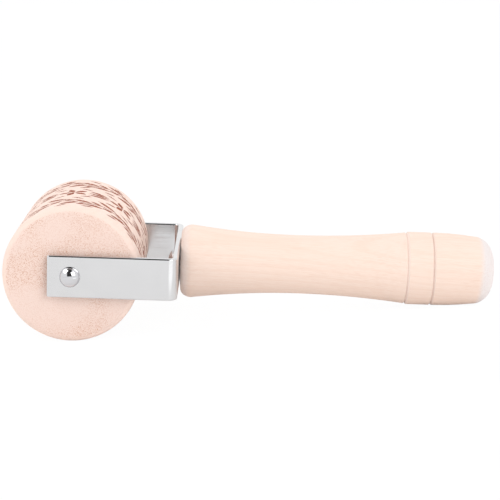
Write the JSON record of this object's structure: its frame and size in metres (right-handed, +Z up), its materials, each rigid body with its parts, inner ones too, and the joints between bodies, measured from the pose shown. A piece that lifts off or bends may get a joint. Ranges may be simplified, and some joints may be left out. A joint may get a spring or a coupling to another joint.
{
  "type": "embossing rolling pin",
  "caption": "One-handed embossing rolling pin: an engraved wooden roller spins on a riveted axle in a bent steel yoke, screwed to a turned wooden handle.",
  "frame": {"origin": "on the table, under the middle of the tool's box, with the tool lying on its roller and on the swell of its handle", "axes": "+X along the tool towards the butt of the handle, +Y along the axle, +Z up from the table"},
  "size_m": [0.18, 0.0718, 0.0494],
  "materials": {
    "roller_beech": "turned and sanded pale beech, unvarnished, with a burnt engraving",
    "handle_beech": "turned and sanded pale beech, unvarnished",
    "yoke_steel": "polished nickel-plated steel strip",
    "rivet_steel": "mirror-polished steel",
    "hardware_steel": "plain zinc-plated steel"
  },
  "bodies": {
    "stock": {"yoke": "yoke_steel", "axle_rivet": "rivet_steel", "spacer_washer_front": "hardware_steel", "spacer_washer_rear": "hardware_steel", "handle": "handle_beech", "handle_screw": "hardware_steel"},
    "roller": {"roller": "roller_beech"}
  },
  "joints": [
    {"name": "roller_spin", "type": "hinge", "parent": "stock", "child": "roller", "pos_m": [-0.06532, 0, 0.0247], "axis": [0, 1, 0], "continuous": true}
  ]
}
